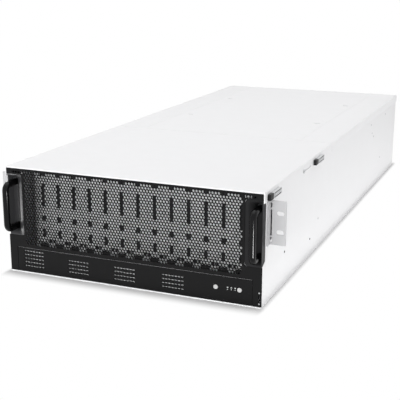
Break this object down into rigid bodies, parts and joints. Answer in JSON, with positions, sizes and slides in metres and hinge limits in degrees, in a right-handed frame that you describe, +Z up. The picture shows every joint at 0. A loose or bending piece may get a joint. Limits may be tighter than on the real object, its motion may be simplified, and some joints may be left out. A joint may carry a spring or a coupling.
{
  "type": "rack server",
  "caption": "Deep white rack-mount storage server with a black perforated front, bar handles, rack ears, a sliding front lid with slide latches, and pull-out power supplies.",
  "frame": {"origin": "under the middle of the whole object, on the surface that it stands on", "axes": "+X to the right seen from the front, +Y from the front to the rear, +Z up"},
  "size_m": [0.4826, 1.0762, 0.175],
  "materials": {
    "white_paint": "fine-textured white powder coat",
    "black_paint": "satin black powder coat",
    "black_bar": "satin black bar",
    "black_plastic": "moulded, lightly textured",
    "zinc_steel": "zinc-plated sheet steel",
    "ear_steel": "light grey powder coat",
    "button_white": "moulded",
    "clear_plastic": "clear",
    "circuit_board": "coated board",
    "connector_plastic": "moulded",
    "drive_metal": "cast case with a dull dark coat",
    "heat_sink_metal": "milled fins",
    "carrier_plastic": "moulded",
    "fan_plastic": "moulded",
    "port_metal": "plated sheet",
    "release_plastic": "moulded, coloured to show what to press"
  },
  "bodies": {
    "chassis": {"bay_dividers": "zinc_steel", "bay_front_wall": "zinc_steel", "bay_rear_wall": "zinc_steel", "bay_side_walls": "zinc_steel", "board_standoffs": "zinc_steel", "chassis_floor": "zinc_steel", "connector_rails": "connector_plastic", "control_board": "circuit_board", "drive_backplanes": "circuit_board", "drive_carriers": "carrier_plastic", "expansion_cards": "circuit_board", "fan_frame_1": "fan_plastic", "fan_frame_2": "fan_plastic", "fan_frame_3": "fan_plastic", "fan_wall": "zinc_steel", "front_drives": "drive_metal", "front_grille": "black_paint", "front_handles": "black_bar", "front_top_rail": "zinc_steel", "left_handle_pocket": "black_plastic", "left_rack_ear": "ear_steel", "left_side_wall": "white_paint", "lid_guide_studs": "zinc_steel", "lower_front_panel": "black_paint", "memory_modules": "circuit_board", "mid_brace": "zinc_steel", "motherboard": "circuit_board", "motherboard_tray": "zinc_steel", "processor_heat_sink": "heat_sink_metal", "rear_drives": "drive_metal", "rear_lid": "white_paint", "rear_panel": "white_paint", "rear_ports": "port_metal", "right_handle_pocket": "black_plastic", "right_rack_ear": "ear_steel", "right_side_wall": "white_paint", "status_light_pipes": "clear_plastic"},
    "front_lid": {"front_lid": "white_paint", "latch_housings": "zinc_steel"},
    "front_left_latch_slider": {"front_left_latch_slider": "black_plastic"},
    "front_right_latch_slider": {"front_right_latch_slider": "black_plastic"},
    "back_left_latch_slider": {"back_left_latch_slider": "black_plastic"},
    "back_right_latch_slider": {"back_right_latch_slider": "black_plastic"},
    "power_button": {"power_button": "button_white"},
    "id_button": {"id_button": "button_white"},
    "fan_rotor_1": {"fan_rotor_1": "fan_plastic"},
    "fan_rotor_2": {"fan_rotor_2": "fan_plastic"},
    "fan_rotor_3": {"fan_rotor_3": "fan_plastic"},
    "power_supply_1": {"power_supply_1": "port_metal", "supply_handle_1": "black_plastic"},
    "power_supply_2": {"power_supply_2": "port_metal", "supply_handle_2": "black_plastic"},
    "supply_release_1": {"supply_release_1": "release_plastic"},
    "supply_release_2": {"supply_release_2": "release_plastic"}
  },
  "joints": [
    {"name": "front_lid_slide", "type": "slide", "parent": "chassis", "child": "front_lid", "axis": [0, -1, 0], "range_m": [0, 0.045]},
    {"name": "front_left_latch_slide", "type": "slide", "parent": "front_lid", "child": "front_left_latch_slider", "axis": [0, -1, 0], "range_m": [0, 0.008]},
    {"name": "front_right_latch_slide", "type": "slide", "parent": "front_lid", "child": "front_right_latch_slider", "axis": [0, -1, 0], "range_m": [0, 0.008]},
    {"name": "back_left_latch_slide", "type": "slide", "parent": "front_lid", "child": "back_left_latch_slider", "axis": [0, -1, 0], "range_m": [0, 0.008]},
    {"name": "back_right_latch_slide", "type": "slide", "parent": "front_lid", "child": "back_right_latch_slider", "axis": [0, -1, 0], "range_m": [0, 0.008]},
    {"name": "power_button_press", "type": "slide", "parent": "chassis", "child": "power_button", "axis": [0, 1, 0], "range_m": [0, 0.0015], "stiffness_N_per_m": 600},
    {"name": "id_button_press", "type": "slide", "parent": "chassis", "child": "id_button", "axis": [0, 1, 0], "range_m": [0, 0.0015], "stiffness_N_per_m": 600},
    {"name": "fan_1_spin", "type": "hinge", "parent": "chassis", "child": "fan_rotor_1", "pos_m": [-0.122, 0.2267, 0.0869], "axis": [0, 1, 0], "continuous": true},
    {"name": "fan_2_spin", "type": "hinge", "parent": "chassis", "child": "fan_rotor_2", "pos_m": [0, 0.2267, 0.0869], "axis": [0, 1, 0], "continuous": true},
    {"name": "fan_3_spin", "type": "hinge", "parent": "chassis", "child": "fan_rotor_3", "pos_m": [0.122, 0.2267, 0.0869], "axis": [0, 1, 0], "continuous": true},
    {"name": "power_supply_1_slide", "type": "slide", "parent": "chassis", "child": "power_supply_1", "axis": [0, 1, 0], "range_m": [0, 0.16]},
    {"name": "power_supply_2_slide", "type": "slide", "parent": "chassis", "child": "power_supply_2", "axis": [0, 1, 0], "range_m": [0, 0.16]},
    {"name": "supply_release_1_push", "type": "slide", "parent": "power_supply_1", "child": "supply_release_1", "axis": [-1, 0, 0], "range_m": [0, 0.004], "stiffness_N_per_m": 800},
    {"name": "supply_release_2_push", "type": "slide", "parent": "power_supply_2", "child": "supply_release_2", "axis": [-1, 0, 0], "range_m": [0, 0.004], "stiffness_N_per_m": 800}
  ]
}
